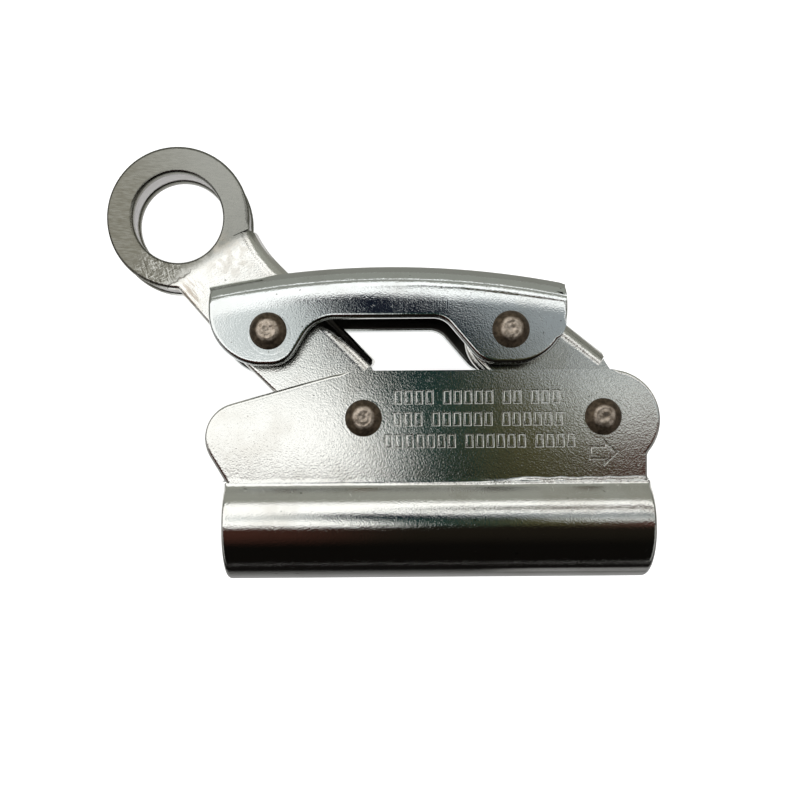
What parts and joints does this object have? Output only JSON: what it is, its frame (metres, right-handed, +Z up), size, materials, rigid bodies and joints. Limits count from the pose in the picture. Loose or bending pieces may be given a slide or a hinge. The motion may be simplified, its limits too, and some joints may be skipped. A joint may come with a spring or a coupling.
{
  "type": "rope grab",
  "caption": "Rope grab with a folded steel rope channel, linked cam levers, an arched handle and an eye for a lanyard.",
  "frame": {"origin": "middle of the rope channel, on its axis", "axes": "+X along the rope, towards its anchor; +Y from the rope to the handle; +Z up out of the side face that shows when the grab lies flat"},
  "size_m": [0.1325, 0.1047, 0.0252],
  "materials": {
    "zinc_body": "bright zinc plate on pressed sheet, near mirror, with faint orange peel and fine scratches",
    "zinc_lever": "bright zinc plate, slightly yellowed on the eye ring, with tool marks",
    "zinc_handle": "bright zinc plate on pressed sheet, near mirror, with fine scratches",
    "rivet_steel": "dark brown steel, satin, with a paler peened disc on each head",
    "cam_steel": "plain hardened steel, satin",
    "washer_steel": "plain steel, satin"
  },
  "bodies": {
    "body": {"body_shell": "zinc_body", "body_rivet_left": "rivet_steel", "body_rivet_right": "rivet_steel"},
    "eye_arm": {"eye_lever": "zinc_lever", "eye_lever_cam": "cam_steel", "eye_cam_pin": "cam_steel"},
    "link_arm": {"link_lever": "zinc_lever", "link_lever_cam": "cam_steel", "link_cam_pin": "cam_steel"},
    "grip": {"handle": "zinc_handle", "handle_rivet_left": "rivet_steel", "handle_rivet_right": "rivet_steel", "spacer_left_front": "washer_steel", "spacer_left_back": "washer_steel", "spacer_right_front": "washer_steel", "spacer_right_back": "washer_steel"}
  },
  "joints": [
    {"name": "eye_lever_pivot", "type": "hinge", "parent": "body", "child": "eye_arm", "pos_m": [-0.0175, 0.026, 0], "axis": [0, 0, 1], "range_deg": [-40, 11.5]},
    {"name": "link_lever_pivot", "type": "hinge", "parent": "body", "child": "link_arm", "pos_m": [0.0395, 0.026, 0], "axis": [0, 0, 1], "range_deg": [-40, 11.5]},
    {"name": "handle_pivot", "type": "hinge", "parent": "eye_arm", "child": "grip", "pos_m": [-0.03969, 0.04641, 0], "axis": [0, 0, 1], "range_deg": [-11.5, 40]}
  ],
  "couplings": [
    {"joint": "link_lever_pivot", "follows": "eye_lever_pivot", "ratio": 1},
    {"joint": "handle_pivot", "follows": "eye_lever_pivot", "ratio": -1}
  ]
}
